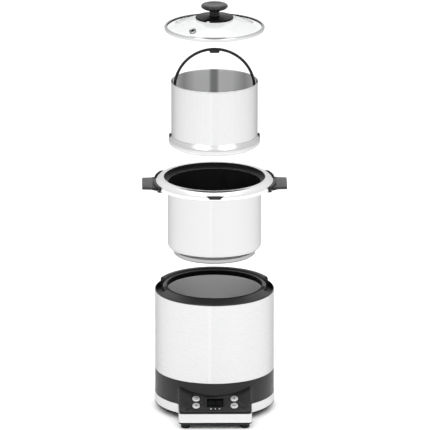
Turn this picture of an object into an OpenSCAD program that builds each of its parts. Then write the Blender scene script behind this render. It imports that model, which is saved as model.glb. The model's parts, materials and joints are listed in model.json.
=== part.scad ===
// Compact round slow cooker, its four carried pieces lifted apart above one
// another: base unit, cooking pot, inner insert with a bail, and glass lid.
// Each lifted piece slides straight down into the one below it.
// Millimetres, +Z up, the control console faces -Y.

/* [Base unit] */
// Outside radius of the round steel shell
shell_r = 87.4; // [86:0.1:89]
// Height of the shell's lower edge above the table
shell_z0 = 58; // [56:0.5:60]
// Height of the shell's upper edge above the table
shell_z1 = 177; // [176.5:0.1:177]
// Clear radius of the heated well
well_r = 69.6; // [69.4:0.1:69.9]
// Height of the four feet
foot_h = 5.5; // [4:0.5:6]
// Radius of each foot
foot_r = 6.5; // [5:0.5:8]

/* [Console] */
// Width of the console at the front
console_w = 105; // [100:1:110]
// How far the console's front face stands ahead of the cooker's axis
console_d = 117; // [112:1:122]
// Slope of the control panel from the horizontal, in degrees
panel_tilt = 28; // [24:1:32]
// Thickness of the glossy panel plate
panel_t = 2; // [1.6:0.1:2.4]
// Radius of each push button
button_r = 5.9; // [5:0.1:6]
// How far a button travels when pressed
button_travel = 0.7; // [0.5:0.1:0.8]

/* [Cooking pot] */
// Outside radius of the pot's wall
pot_r = 68.75; // [68.2:0.05:68.9]
// Outside radius of the wide rolled rim
rim_r = 86.5; // [85.5:0.1:86.6]
// Height of the pot from its base disc to the top of its rim
pot_h = 116.6; // [116:0.1:116.6]
// Height of the rim's top in the lifted position
pot_top = 349; // [340:1:360]

/* [Insert] */
// Outside radius of the insert's wall
insert_r = 63.2; // [62.5:0.1:63.4]
// Height of the insert
insert_h = 97; // [90:1:98]
// Height of the insert's foot in the lifted position
insert_z = 396.8; // [390:0.1:410]
// Radius of the bail, from its pivots to the middle of its wire
bail_r = 58; // [57:0.5:58.5]
// Radius of the bail's wire
bail_wire_r = 2.1; // [1.6:0.1:2.3]

/* [Lid] */
// Outside radius of the lid's steel rim
lid_r = 73; // [72:0.1:73.4]
// Height of the lid's underside in the lifted position
lid_z = 571.5; // [560:0.5:590]
// Rise of the glass dome above its flat edge
dome_h = 15; // [10:1:16]
// Radius of the knob's cap
knob_r = 19.75; // [17:0.25:22]

/* [Hidden] */
$fn = 96;

lift = 1.9;                    // the heights below are counted from this far above the table
plate_z0 = foot_h - lift;
axis_y = 14.9;                 // the cooker's round axis sits behind the frame's origin
housing_r = shell_r - 0.1;
plate_top = 7;
plinth_top = 21.7;
panel_y = -console_d;
panel_z = plinth_top + 1;
button_x = 27.8;
button_s = [13.2, 27.5];       // up the slope from the panel's lower edge
wall = 0.7;                    // sheet of the pot and the insert
liner_t = 0.3;
plate_z = 70.8;                // underside of the heating plate
plate_h = 5.2;
boss_xy = [[-56, 40], [56, 40], [-56, -38], [56, -38]];

module at_axis() { translate([0, axis_y, lift]) children(); }
module on_panel() { translate([0, panel_y, panel_z]) rotate([panel_tilt, 0, 0]) children(); }
module tube(r1, r0, z0, z1) {
  translate([0, 0, z0]) difference() {
    cylinder(r = r1, h = z1 - z0);
    translate([0, 0, -1]) cylinder(r = r0, h = z1 - z0 + 2);
  }
}
module block(x0, x1, y0, y1, z0, z1) { translate([x0, y0, z0]) cube([x1 - x0, y1 - y0, z1 - z0]); }
module both_sides() { children(); mirror([1, 0, 0]) children(); }

// Plan outline: a circle with a square-sided console at the front, whose
// sides run into the circle through concave fillets
module footprint_fillet(r, w, fillet) {
  yf = sqrt(pow(r + fillet, 2) - pow(w / 2 + fillet, 2));
  k = (r - 4) / (r + fillet);
  difference() {
    polygon([[w / 2 - 6, -yf], [w / 2 + fillet, -yf],
      [(w / 2 + fillet) * k, -yf * k], [w / 2 - 6, -yf * k]]);
    translate([w / 2 + fillet, -yf]) circle(r = fillet - 0.1);
  }
}
module footprint(r, w, d, corner, fillet) {
  circle(r = r);
  translate([-w / 2, -d + corner]) square([w, d - corner - 20]);
  translate([-w / 2 + corner, -d]) square([w - 2 * corner, corner + 1]);
  for (s = [-1, 1]) translate([s * (w / 2 - corner), -d + corner]) circle(r = corner);
  both_sides() footprint_fillet(r, w, fillet);
}
// everything above a plane parallel to the panel's slope, ahead of the circle
module above_slope(lift) {
  on_panel() translate([-150, -60, lift]) cube([300, 140, 80]);
}

// ---- base unit ----
module feet() {
  color([0.08, 0.08, 0.085])
  for (p = [[-43.5, -107], [43.5, -107], [-48, 58], [48, 58]]) translate([p[0], p[1], -lift]) {
    cylinder(r1 = foot_r - 0.8, r2 = foot_r, h = 1);
    translate([0, 0, 1]) cylinder(r = foot_r, h = foot_h - 1);
  }
}
module base_plate() {
  color([0.09, 0.09, 0.095]) difference() {
    translate([0, 0, plate_z0]) linear_extrude(plate_top - plate_z0) footprint(84.6, 101, 114.6, 4, 10);
    for (p = boss_xy) translate([p[0], p[1], plate_z0 - 1]) {
      cylinder(r = 1.7, h = 6);
      cylinder(r = 3.5, h = 3.3);
    }
    for (x = [-18 : 6 : 18]) block(x - 1.2, x + 1.2, -20, 20, plate_z0 - 1, plate_top + 1);
  }
}
module housing_screws() {
  color([0.6, 0.61, 0.62])
  for (p = boss_xy) translate([p[0], p[1], 0]) {
    difference() {
      translate([0, 0, plate_z0 + 1]) cylinder(r = 3.2, h = 1.2);
      translate([0, 0, plate_z0 + 0.9]) cylinder(r = 1.3, h = 0.8, $fn = 6);
    }
    translate([0, 0, plate_z0 + 1.9]) cylinder(r = 1.45, h = 13);
  }
}
module plinth_trim() {
  color([0.86, 0.86, 0.85]) translate([0, 0, plate_top]) difference() {
    linear_extrude(plinth_top - plate_top) footprint(88, 107, 118.5, 5, 9);
    translate([0, 0, -1]) linear_extrude(30) footprint(82, 97, 112.5, 3, 12);
  }
}
module lower_housing() {
  color([0.2, 0.2, 0.21]) difference() {
    union() {
      translate([0, 0, plinth_top]) cylinder(r = housing_r, h = shell_z0 - plinth_top);
      difference() {
        translate([0, 0, plinth_top]) linear_extrude(34) footprint(housing_r, console_w, console_d, 5, 9);
        above_slope(0);
      }
    }
    translate([0, 0, plinth_top - 1]) cylinder(r = housing_r - 3, h = shell_z0 - plinth_top - 1.5);
    difference() {
      translate([0, 0, plinth_top - 1]) linear_extrude(34) footprint(housing_r - 3, console_w - 5, console_d - 2.6, 3, 12);
      above_slope(-2.4);
    }
    // windows under the panel for the button stems and the display
    on_panel() {
      for (s = [-1, 1]) block(s * button_x - 8, s * button_x + 8, 5, 34.6, -4, 1);
      block(-10.5, 10.5, 11.5, 27.1, -4, 1);
    }
    // deck opening, inlet cut-out and cooling slots
    translate([0, 0, shell_z0 - 5]) cylinder(r = 56, h = 10);
    block(-14, 14, 70, 100, 27, 47);
    for (a = [24 : 8 : 56]) for (s = [-1, 1]) rotate([0, 0, 90 + s * a]) block(80, 95, -1, 1, 30, 46);
  }
  color([0.2, 0.2, 0.21]) for (p = boss_xy) translate([p[0], p[1], 0]) difference() {
    translate([0, 0, plate_top]) cylinder(r = 4.5, h = shell_z0 - 2.5 - plate_top);
    translate([0, 0, plate_top - 1]) cylinder(r = 1.6, h = 16);
  }
}
module control_panel() {
  color([0.1, 0.1, 0.105]) difference() {
    on_panel() difference() {
      union() {
        block(-51, 51, 5.8, 56, 0.02, panel_t);
        block(-46, 46, 0.8, 6, 0.02, panel_t);
        for (s = [-1, 1]) translate([s * 46, 5.8, 0.02]) cylinder(r = 5, h = panel_t - 0.02);
      }
      for (s = [-1, 1]) for (v = button_s) translate([s * button_x, v, -1]) cylinder(r = button_r + 0.3, h = 5);
      block(-12, 12, 10.7, 27.9, -1, 5);
    }
    cylinder(r = housing_r + 0.15, h = 90);
  }
}
module display_window() {
  color([0.03, 0.035, 0.04]) on_panel() {
    block(-11.8, 11.8, 10.9, 27.7, 0.1, panel_t - 0.1);
    block(-10, 10, 12, 26.6, -5, 0.2);
  }
}
module indicator_icons() {
  color([0.75, 0.77, 0.78]) on_panel()
  for (x = [-6.3, 0, 6.3]) translate([x, 6.9, panel_t]) cylinder(r = 1.35, h = 0.15);
}
module control_board() {
  color([0.1, 0.32, 0.16]) on_panel() {
    block(-44, 44, 6, 37, -9.2, -7.6);
    block(-7, 7, 13, 23, -7.7, -5.6);
    translate([14.5, 33, -7.7]) cylinder(r = 2.5, h = 5);
  }
}
module button_switches() {
  color([0.15, 0.15, 0.16]) on_panel()
  for (s = [-1, 1]) for (v = button_s) {
    block(s * button_x - 3, s * button_x + 3, v - 3, v + 3, -7.6, -6);
    translate([s * button_x, v, -6.1]) cylinder(r = 1.7, h = 0.5);
  }
}
module push_button(x, v) {
  on_panel() translate([x, v, 0]) {
    translate([0, 0, 0.3]) cylinder(r = button_r, h = 2.5);
    translate([0, 0, 2.8]) cylinder(r1 = button_r, r2 = button_r - 0.7, h = 0.5);
    translate([0, 0, -1.2]) cylinder(r = button_r + 0.5, h = 0.9);
    translate([0, 0, -0.4]) cylinder(r = button_r - 1, h = 0.8);
    translate([0, 0, -4.5]) cylinder(r = 2, h = 3.5);
  }
}
module button_menu() { color([0.78, 0.79, 0.8]) push_button(-button_x, button_s[1]); }
module button_start() { color([0.78, 0.79, 0.8]) push_button(-button_x, button_s[0]); }
module button_plus() { color([0.78, 0.79, 0.8]) push_button(button_x, button_s[1]); }
module button_minus() { color([0.78, 0.79, 0.8]) push_button(button_x, button_s[0]); }

module power_inlet() {
  color([0.06, 0.06, 0.065]) difference() {
    block(-13.8, 13.8, 70, 88.7, 27.2, 46.8);
    for (s = [-1, 1]) translate([s * 4.3, 76, 37]) rotate([-90, 0, 0]) cylinder(r = 5.2, h = 20);
    block(-4.3, 4.3, 76, 95, 31.8, 42.2);
    for (s = [-1, 1]) translate([s * 4.3, 60, 37]) rotate([-90, 0, 0]) cylinder(r = 1.25, h = 20);
  }
}
module inlet_pins() {
  color([0.75, 0.76, 0.78])
  for (s = [-1, 1]) translate([s * 4.3, 66, 37]) rotate([-90, 0, 0]) cylinder(r = 1.2, h = 19);
}
module terminal_block() {
  color([0.85, 0.84, 0.78]) difference() {
    block(-12, 12, 46, 58, plate_top, plate_top + 12);
    for (x = [-7, 0, 7]) translate([x, 52, plate_top + 4]) cylinder(r = 2, h = 10);
  }
}
module outer_shell() { color([0.85, 0.85, 0.86]) tube(shell_r, shell_r - 0.8, shell_z0, shell_z1); }
module top_collar() {
  color([0.13, 0.13, 0.135]) difference() {
    union() {
      rotate_extrude() polygon([[well_r - 0.1, 176.9], [well_r - 0.1, 183], [70.1, 183.8], [71.2, 184],
        [74, 183.4], [80, 181.2], [86.4, 178.9], [87.2, 178.4], [shell_r, 177.9], [shell_r, shell_z1],
        [shell_r - 0.9, shell_z1], [shell_r - 0.9, 168], [84, 168], [84, 176.9]]);
      rotate([0, 0, 20]) rotate_extrude(angle = 140) polygon([[77.6, 181], [78.6, 184.6], [80.4, 185.6],
        [83.6, 185.7], [84.6, 184.8], [84.8, 178.5], [77.6, 178.5]]);
      intersection() {
        both_sides() block(74.4, 86.5, -31.5, 31.5, 169.5, 178);
        cylinder(r = shell_r - 0.9, h = 200);
      }
    }
    both_sides() block(75.6, 86, -30, 30, 171.5, 190);
  }
}
module inner_well() {
  color([0.5, 0.5, 0.51]) union() {
    tube(well_r + 0.8, well_r, 70, 176.8);
    tube(well_r + 0.8, 62, 70, plate_z);
    tube(74, well_r, 176.1, 176.85);
  }
}
module well_support_ring() { color([0.8, 0.79, 0.74]) tube(67, 63, shell_z0, 70); }
module heating_plate() {
  color([0.62, 0.62, 0.63]) difference() {
    translate([0, 0, plate_z]) cylinder(r = 66, h = plate_h);
    translate([0, 0, plate_z - 1]) cylinder(r = 12.2, h = plate_h + 2);
    rotate_extrude() translate([45, plate_z]) circle(r = 3.6);
    tube(58.6, 58, plate_z + plate_h - 0.5, 80);
    tube(30.6, 30, plate_z + plate_h - 0.5, 80);
  }
}
module heating_element() {
  color([0.45, 0.43, 0.41]) {
    rotate_extrude() translate([45, plate_z]) circle(r = 3.5);
    for (a = [80, 100]) rotate([0, 0, a]) translate([45, 0, 59]) cylinder(r = 2.2, h = plate_z - 60);
  }
}
module thermal_fuse() {
  color([0.85, 0.83, 0.78]) {
    translate([-8, -30, 67.8]) rotate([0, 90, 0]) cylinder(r = 2.2, h = 16);
    block(-5, 5, -34, -26, 69.4, plate_z);
    block(-2, 2, -31.5, -28.5, 68, 70);
  }
}
module sensor_bracket() {
  color([0.66, 0.66, 0.67]) {
    tube(14.5, 13, 60, plate_z);
    tube(14.5, 4.02, 60, 61.5);
    tube(22, 13, 69.4, plate_z);
  }
}
// compression spring round the sensor's stem
spring_turns = 6;
function spring_ring(t) = [for (j = [0 : 5]) let (a = 360 * spring_turns * t, b = 60 * j, r = 8 + 0.55 * cos(b))
  [r * cos(a), r * sin(a), 62.2 + 13 * t + 0.55 * sin(b)]];
module sensor_spring() {
  n = 72;
  pts = [for (i = [0 : n]) each spring_ring(i / n)];
  side = [for (i = [0 : n - 1]) for (j = [0 : 5]) [i * 6 + j, (i + 1) * 6 + j, (i + 1) * 6 + (j + 1) % 6, i * 6 + (j + 1) % 6]];
  color([0.7, 0.7, 0.72]) polyhedron(points = pts,
    faces = concat([[for (j = [0 : 5]) j]], side, [[for (j = [0 : 5]) n * 6 + 5 - j]]));
}
module temperature_sensor() {
  color([0.7, 0.7, 0.71]) {
    translate([0, 0, 76]) cylinder(r = 11.5, h = 1.6);
    translate([0, 0, 77.6]) cylinder(r1 = 11.5, r2 = 10.8, h = 0.7);
    translate([0, 0, 57]) cylinder(r = 3.95, h = 19.5);
  }
}

// ---- cooking pot, drawn down from the top of its rim ----
module at_pot() { translate([0, 0, pot_top]) children(); }
corner = 8.5;
floor_z = -pot_h + 8.1;
function arc_pts(cx, cz, r, a0, a1, n) = [for (i = [0 : n]) let (a = a0 + (a1 - a0) * i / n) [cx + r * cos(a), cz + r * sin(a)]];
module pot_body() {
  color([0.84, 0.84, 0.85]) at_pot() rotate_extrude() polygon(concat(
    [[0, floor_z]],
    arc_pts(pot_r - corner, floor_z + corner, corner, -90, 0, 8),
    [[pot_r, -8.7], [74.7, -8.7], [74.7, -0.95], [74, -0.95], [74, -8], [pot_r - wall, -8]],
    arc_pts(pot_r - corner, floor_z + corner, corner - wall, 0, -90, 8),
    [[0, floor_z + wall]]));
}
module pot_liner() {
  color([0.02, 0.02, 0.022]) at_pot() rotate_extrude() polygon(concat(
    [[0, floor_z + wall]],
    arc_pts(pot_r - corner, floor_z + corner, corner - wall, -90, 0, 8),
    [[pot_r - wall, -8], [pot_r - wall - liner_t, -8]],
    arc_pts(pot_r - corner, floor_z + corner, corner - wall - liner_t, 0, -90, 8),
    [[0, floor_z + wall + liner_t]]));
}
module screw_line(r, x0, x1) {
  both_sides() for (y = [-12, 12]) translate([x0, y, -11]) rotate([0, 90, 0]) cylinder(r = r, h = x1 - x0);
}
module pot_rim() {
  color([0.88, 0.88, 0.89]) at_pot() difference() {
    rotate_extrude() polygon([[74, -0.95], [74.2, -0.3], [75, 0], [78.5, -0.35], [81.6, -1.4], [84, -3.1],
      [85.7, -5.4], [rim_r, -8.2], [rim_r, -12.5], [rim_r - 0.2, -12.8], [rim_r - 0.8, -12.8],
      [rim_r - 0.8, -8.4], [85, -5.9], [83.5, -3.9], [81.3, -2.3], [78.3, -1.2], [75, -0.95]]);
    screw_line(1.25, 84, 90);
  }
}
module pot_base_disc() {
  color([0.8, 0.8, 0.81]) at_pot() {
    translate([0, 0, -pot_h]) cylinder(r1 = 59, r2 = 60, h = 1);
    translate([0, 0, -pot_h + 1]) cylinder(r = 60, h = 7.1);
  }
}
module rim_tab() {
  color([0.12, 0.12, 0.125]) at_pot() intersection() {
    tube(rim_r + 0.8, rim_r, -10.6, -5.2);
    rotate([90, 0, 0]) linear_extrude(100) polygon([[-13, -5.2], [-7.5, -10.6], [7.5, -10.6], [13, -5.2]]);
  }
}
module handle_plate() {
  difference() {
    translate([0, 0, -13.2]) linear_extrude(4) difference() {
      union() {
        polygon([[84, -33], [92, -26], [103, -25], [103, 25], [92, 26], [84, 33]]);
        translate([100, -22]) square([6, 44]);
        for (y = [-22, 22]) translate([103, y]) circle(r = 3);
      }
      circle(r = 89.35);
    }
    for (y = [-12, 12]) translate([80, y, -11]) rotate([0, 90, 0]) cylinder(r = 1.15, h = 18.4);
  }
}
module handle_left() { color([0.26, 0.26, 0.27]) at_pot() mirror([1, 0, 0]) handle_plate(); }
module handle_right() { color([0.26, 0.26, 0.27]) at_pot() handle_plate(); }
module handle_bands() {
  color([0.07, 0.07, 0.075]) at_pot() both_sides() difference() {
    intersection() {
      tube(89.3, rim_r + 0.1, -13, -6.4);
      block(75, 95, -35, 35, -14, 0);
    }
    for (y = [-12, 12]) translate([80, y, -11]) rotate([0, 90, 0]) cylinder(r = 1.25, h = 20);
  }
}
module handle_anchors() {
  color([0.2, 0.2, 0.21]) at_pot() both_sides() difference() {
    union() {
      intersection() {
        block(77, 86, -20, 20, -14.5, -7.2);
        cylinder(r = rim_r - 1.5, h = 60, center = true);
      }
      intersection() {
        block(77, 85, -20, 20, -19.5, -14);
        cylinder(r = rim_r - 1.4, h = 60, center = true);
      }
    }
    for (y = [-12, 12]) translate([70, y, -11]) rotate([0, 90, 0]) cylinder(r = 1.15, h = 30);
  }
}
module handle_screws() { color([0.6, 0.61, 0.62]) at_pot() screw_line(1.1, 77.5, 98); }

// ---- insert and its bail, drawn up from its foot ----
module at_insert() { translate([0, 0, insert_z]) children(); }
pivot_z = insert_h - 10.5;
module insert_body() {
  color([0.78, 0.78, 0.79]) at_insert() rotate_extrude() polygon(concat(
    [[0, 1.1]], arc_pts(insert_r - 3, 4.1, 3, -90, 0, 5),
    [[insert_r, insert_h - 1.6], [insert_r + 0.5, insert_h - 1.2], [insert_r + 0.6, insert_h - 0.5],
     [insert_r + 0.2, insert_h], [insert_r - wall + 0.1, insert_h], [insert_r - wall, insert_h - 0.3]],
    arc_pts(insert_r - 3, 4.1, 3 - wall, 0, -90, 5), [[0, 1.1 + wall]]));
}
module insert_foot_ring() {
  color([0.8, 0.8, 0.81]) at_insert() difference() {
    rotate_extrude() polygon([[58, 0], [61.6, 0], [63.4, 0.9], [65, 2.4], [66.3, 4.3], [67, 6.2], [67.2, 7.8],
      [67, 9.4], [66.2, 11.4], [65, 13.6], [63.9, 15.6], [insert_r + 0.02, 17.4], [insert_r + 0.08, 4.1],
      [insert_r - 0.06, 3.3], [insert_r - 0.34, 2.54], [insert_r - 0.82, 1.89], [insert_r - 1.46, 1.4],
      [insert_r - 2.2, 1.08], [insert_r - 3, 1.04], [58, 1.04]]);
    both_sides() block(insert_r + 0.5, 70, -4, 4, 11.2, 18);
  }
}
module bail_lugs() {
  color([0.1, 0.1, 0.105]) at_insert() both_sides() difference() {
    union() {
      block(60.8, 62.1, -6, 6, pivot_z - 3, insert_h + 1.4);
      translate([60.8, 0, pivot_z - 3]) rotate([0, 90, 0]) cylinder(r = 6, h = 1.3);
    }
    translate([55, 0, pivot_z]) rotate([0, 90, 0]) cylinder(r = 1.52, h = 10);
  }
}
module bail_pins() {
  color([0.65, 0.65, 0.66]) at_insert() both_sides() translate([0, 0, pivot_z]) rotate([0, 90, 0]) {
    translate([0, 0, 54.8]) cylinder(r = 2.6, h = 1);
    translate([0, 0, 55.6]) cylinder(r = 1.5, h = 6.4);
  }
}
module bail_wire() {
  color([0.09, 0.09, 0.095]) at_insert() translate([0, 0, pivot_z]) difference() {
    union() {
      rotate([90, 0, 0]) rotate_extrude(angle = 180) translate([bail_r, 0]) circle(r = bail_wire_r, $fn = 24);
      both_sides() translate([56.2, 0, 0]) rotate([0, 90, 0]) cylinder(r = 3.6, h = 4.2);
    }
    both_sides() translate([50, 0, 0]) rotate([0, 90, 0]) cylinder(r = 1.56, h = 14);
  }
}
module bail_grip() {
  color([0.12, 0.12, 0.125]) at_insert() translate([0, 0, pivot_z]) difference() {
    rotate([90, 0, 0]) linear_extrude(6, center = true) polygon([[-8.4, bail_r - 0.6], [-8, bail_r + 0.2],
      [8, bail_r + 0.2], [8.4, bail_r - 0.6], [6.6, bail_r - 4.6], [5.8, bail_r - 5.2],
      [-5.8, bail_r - 5.2], [-6.6, bail_r - 4.6]]);
    rotate([90, 0, 0]) rotate_extrude() translate([bail_r, 0]) circle(r = bail_wire_r + 0.03, $fn = 24);
  }
}

// ---- lid, drawn up from the underside of its steel rim ----
module at_lid() { translate([0, 0, lid_z]) children(); }
dome_r = 61.5;
function dome_z(r) = r >= dome_r ? 4 : 4 + dome_h * (1 - pow(r / dome_r, 2));
dome_steps = [for (r = [0 : 5 : 60]) r];
vent_r = 51;
vent_a = -128.4;
module at_vent() {
  rotate([0, 0, vent_a]) translate([vent_r, 0, dome_z(vent_r) - 1.5])
  rotate([0, atan(2 * dome_h * vent_r / pow(dome_r, 2)), 0]) children();
}
module lid_glass() {
  color([0.85, 0.9, 0.9, 0.35]) at_lid() difference() {
    rotate_extrude() polygon(concat(
      [for (r = dome_steps) [r, dome_z(r)]],
      [[62.5, 4.1], [72, 3.95], [72, 1.05], [61.5, 1.15]],
      [for (i = [len(dome_steps) - 1 : -1 : 0]) [dome_steps[i] * 0.985, dome_z(dome_steps[i]) - 3]]));
    cylinder(r = 3.1, h = 60);
    at_vent() cylinder(r = 4.1, h = 20, center = true);
  }
}
module lid_rim() {
  color([0.86, 0.86, 0.87]) at_lid() rotate_extrude() polygon([[69, 0], [72.3, 0], [lid_r, 0.7],
    [lid_r, 4.2], [72.4, 4.9], [69.4, 4.95], [69, 4.6], [69, 4.1], [72.15, 4.1], [72.15, 0.9], [69, 0.9]]);
}
module knob_flange() {
  color([0.09, 0.09, 0.095]) at_lid() difference() {
    rotate_extrude() polygon([[3.2, dome_z(0) + 0.1], [10, dome_z(8) + 0.1], [18, dome_z(16) + 0.1],
      [27.2, dome_z(26) + 0.1], [27.8, dome_z(26) + 0.7], [27.8, dome_z(26) + 2], [27, dome_z(26) + 2.8],
      [14, dome_z(0) + 1.5], [8.2, dome_z(0) + 1.9], [3.2, dome_z(0) + 1.9]]);
    rotate([0, 0, -112]) block(21.5, 30, -3, 3, 0, 60);
  }
}
module knob_stem() {
  color([0.08, 0.08, 0.085]) at_lid() rotate_extrude() polygon([[2.6, dome_z(0) + 1.9], [8.3, dome_z(0) + 1.9],
    [8, dome_z(0) + 2.8], [7.6, dome_z(0) + 3.2], [7.6, 27], [8, 27.4], [8, 29.4], [2.6, 29.4]]);
}
module knob_cap() {
  color([0.09, 0.09, 0.095]) at_lid() rotate_extrude() polygon([[2.2, 29.4], [9, 29.4], [13, 30], [16.8, 31.4],
    [knob_r - 0.5, 33.2], [knob_r, 34.6], [knob_r - 0.4, 36], [knob_r - 1.6, 37.2], [knob_r - 4, 37.9],
    [11, 38], [6, 37.6], [0, 37.4], [0, 34], [2.2, 34]]);
}
module knob_screw() {
  color([0.7, 0.7, 0.71]) at_lid() difference() {
    union() {
      translate([0, 0, dome_z(0) - 6.4]) cylinder(r1 = 4.4, r2 = 5, h = 0.8);
      translate([0, 0, dome_z(0) - 5.6]) cylinder(r = 5, h = 1.3);
      translate([0, 0, dome_z(0) - 4.4]) cylinder(r = 2.1, h = 33.8 - dome_z(0) + 4.4);
    }
    block(-6, 6, -0.6, 0.6, dome_z(0) - 7, dome_z(0) - 5.4);
  }
}
module knob_washer() { color([0.7, 0.7, 0.71]) at_lid() tube(7.5, 2.3, dome_z(0) - 4.3, dome_z(0) - 3.3); }
module vent_grommet() {
  color([0.82, 0.82, 0.83]) at_lid() at_vent() {
    tube(4, 2.6, -2.5, 2.5);
    tube(5.2, 2.6, 1.75, 2.6);
    tube(5, 2.6, -2.6, -1.85);
  }
}

at_axis() feet();
at_axis() base_plate();
at_axis() housing_screws();
at_axis() plinth_trim();
at_axis() lower_housing();
at_axis() control_panel();
at_axis() display_window();
at_axis() indicator_icons();
at_axis() control_board();
at_axis() button_switches();
at_axis() power_inlet();
at_axis() inlet_pins();
at_axis() terminal_block();
at_axis() outer_shell();
at_axis() top_collar();
at_axis() inner_well();
at_axis() well_support_ring();
at_axis() heating_plate();
at_axis() heating_element();
at_axis() thermal_fuse();
at_axis() sensor_bracket();
at_axis() sensor_spring();
at_axis() temperature_sensor();
at_axis() button_menu();
at_axis() button_start();
at_axis() button_plus();
at_axis() button_minus();
at_axis() pot_body();
at_axis() pot_liner();
at_axis() pot_rim();
at_axis() pot_base_disc();
at_axis() rim_tab();
at_axis() handle_left();
at_axis() handle_right();
at_axis() handle_bands();
at_axis() handle_anchors();
at_axis() handle_screws();
at_axis() insert_body();
at_axis() insert_foot_ring();
at_axis() bail_lugs();
at_axis() bail_pins();
at_axis() bail_wire();
at_axis() bail_grip();
at_axis() lid_glass();
at_axis() lid_rim();
at_axis() knob_flange();
at_axis() knob_stem();
at_axis() knob_cap();
at_axis() knob_screw();
at_axis() knob_washer();
at_axis() vent_grommet();
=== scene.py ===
import bpy, bmesh, json, math
from mathutils import Vector, Matrix

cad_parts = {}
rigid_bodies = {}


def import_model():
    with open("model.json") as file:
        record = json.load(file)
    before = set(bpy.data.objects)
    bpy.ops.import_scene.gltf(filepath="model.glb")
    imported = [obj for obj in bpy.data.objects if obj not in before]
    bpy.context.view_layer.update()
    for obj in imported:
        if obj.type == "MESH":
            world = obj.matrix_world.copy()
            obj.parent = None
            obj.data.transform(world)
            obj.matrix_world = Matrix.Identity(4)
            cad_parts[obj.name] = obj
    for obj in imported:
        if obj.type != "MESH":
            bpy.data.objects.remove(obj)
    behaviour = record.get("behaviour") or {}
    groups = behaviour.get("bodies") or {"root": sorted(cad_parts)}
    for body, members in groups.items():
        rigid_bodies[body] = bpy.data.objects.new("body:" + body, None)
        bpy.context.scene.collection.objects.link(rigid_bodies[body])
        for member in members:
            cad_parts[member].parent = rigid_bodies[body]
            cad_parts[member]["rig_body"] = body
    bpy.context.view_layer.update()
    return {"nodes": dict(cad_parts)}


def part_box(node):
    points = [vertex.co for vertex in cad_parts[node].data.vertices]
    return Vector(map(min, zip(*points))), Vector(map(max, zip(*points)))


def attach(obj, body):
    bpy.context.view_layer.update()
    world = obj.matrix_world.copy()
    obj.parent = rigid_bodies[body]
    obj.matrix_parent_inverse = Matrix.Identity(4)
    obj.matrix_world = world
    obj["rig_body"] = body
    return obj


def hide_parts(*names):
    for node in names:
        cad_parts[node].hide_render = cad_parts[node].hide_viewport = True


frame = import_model()
NODES = frame["nodes"]
MM = 0.001

shell_lo, shell_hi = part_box("outer_shell")
AX = (shell_lo.x + shell_hi.x) * 500.0          # cooker's axis, mm
AY = (shell_lo.y + shell_hi.y) * 500.0
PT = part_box("pot_rim")[1].z * 1000.0            # top of the pot's rim
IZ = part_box("insert_foot_ring")[0].z * 1000.0   # foot of the insert
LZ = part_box("lid_rim")[0].z * 1000.0            # underside of the lid's rim
TILT = math.radians(28)
DZ = shell_lo.z * 1000.0 - 58.0                 # the base unit's heights are counted from here
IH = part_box("insert_body")[1].z * 1000.0 - IZ   # insert's height
PIN_LO, PIN_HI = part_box("bail_pins")
PANEL = Vector((0.0, AY - 117.0, 22.7 + DZ))    # panel's lower front edge, mm

# ------------------------------------------------------------------ materials
def new_mat(name):
    m = bpy.data.materials.new(name)
    m.use_nodes = True
    nt = m.node_tree
    b = nt.nodes["Principled BSDF"]
    return m, nt, b

def coords(nt, scale=(1, 1, 1), rot=(0, 0, 0)):
    tc = nt.nodes.new("ShaderNodeTexCoord")
    mp = nt.nodes.new("ShaderNodeMapping")
    mp.inputs["Scale"].default_value = scale
    mp.inputs["Rotation"].default_value = rot
    nt.links.new(tc.outputs["Object"], mp.inputs["Vector"])
    return mp.outputs["Vector"]

def noise(nt, vec, scale, detail=3.0, rough=0.55):
    n = nt.nodes.new("ShaderNodeTexNoise")
    n.inputs["Scale"].default_value = scale
    n.inputs["Detail"].default_value = detail
    n.inputs["Roughness"].default_value = rough
    nt.links.new(vec, n.inputs["Vector"])
    return n.outputs["Fac"]

def ramp(nt, fac, a, b, lo=0.3, hi=0.7):
    r = nt.nodes.new("ShaderNodeMapRange")
    r.inputs["From Min"].default_value = lo
    r.inputs["From Max"].default_value = hi
    r.inputs["To Min"].default_value = a
    r.inputs["To Max"].default_value = b
    nt.links.new(fac, r.inputs["Value"])
    return r.outputs["Result"]

def mix_col(nt, fac, c0, c1):
    m = nt.nodes.new("ShaderNodeMix")
    m.data_type = "RGBA"
    m.inputs["A"].default_value = (*c0, 1)
    m.inputs["B"].default_value = (*c1, 1)
    nt.links.new(fac, m.inputs["Factor"])
    return m.outputs["Result"]

def bump(nt, b, height, strength, dist):
    n = nt.nodes.new("ShaderNodeBump")
    n.inputs["Strength"].default_value = strength
    n.inputs["Distance"].default_value = dist
    nt.links.new(height, n.inputs["Height"])
    nt.links.new(n.outputs["Normal"], b.inputs["Normal"])

# painted reflection: a thin bright line with a slightly darker strip beside it, just left of the front, stands for a
# studio reflection edge on the steel; tone round the axis, from the back (0) over the left side (0.25) and the front
# (0.5) back again (1)
REFLECTION_LINE_TONES = [(0.0, 1.0), (0.482, 0.99), (0.485, 1.05), (0.487, 1.05), (0.49, 0.97), (0.56, 1.0), (1.0, 1.0)]
# painted reflections: the same soft dark and light bands, four times round, stand for the reflections on the inside of
# the rolled sheet
REFLECTION_BAND_TONES = []
for q in (0.0, 0.25, 0.5, 0.75):
    REFLECTION_BAND_TONES += [(q, 0.4), (q + 0.01, 0.4), (q + 0.02, 1.0), (q + 0.07, 1.0), (q + 0.125, 0.6), (q + 0.18, 1.0), (q + 0.23, 1.0), (q + 0.24, 0.4)]

# multiplies a tone by stops laid round the axis: used to paint reflections into the steel's colour
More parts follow.
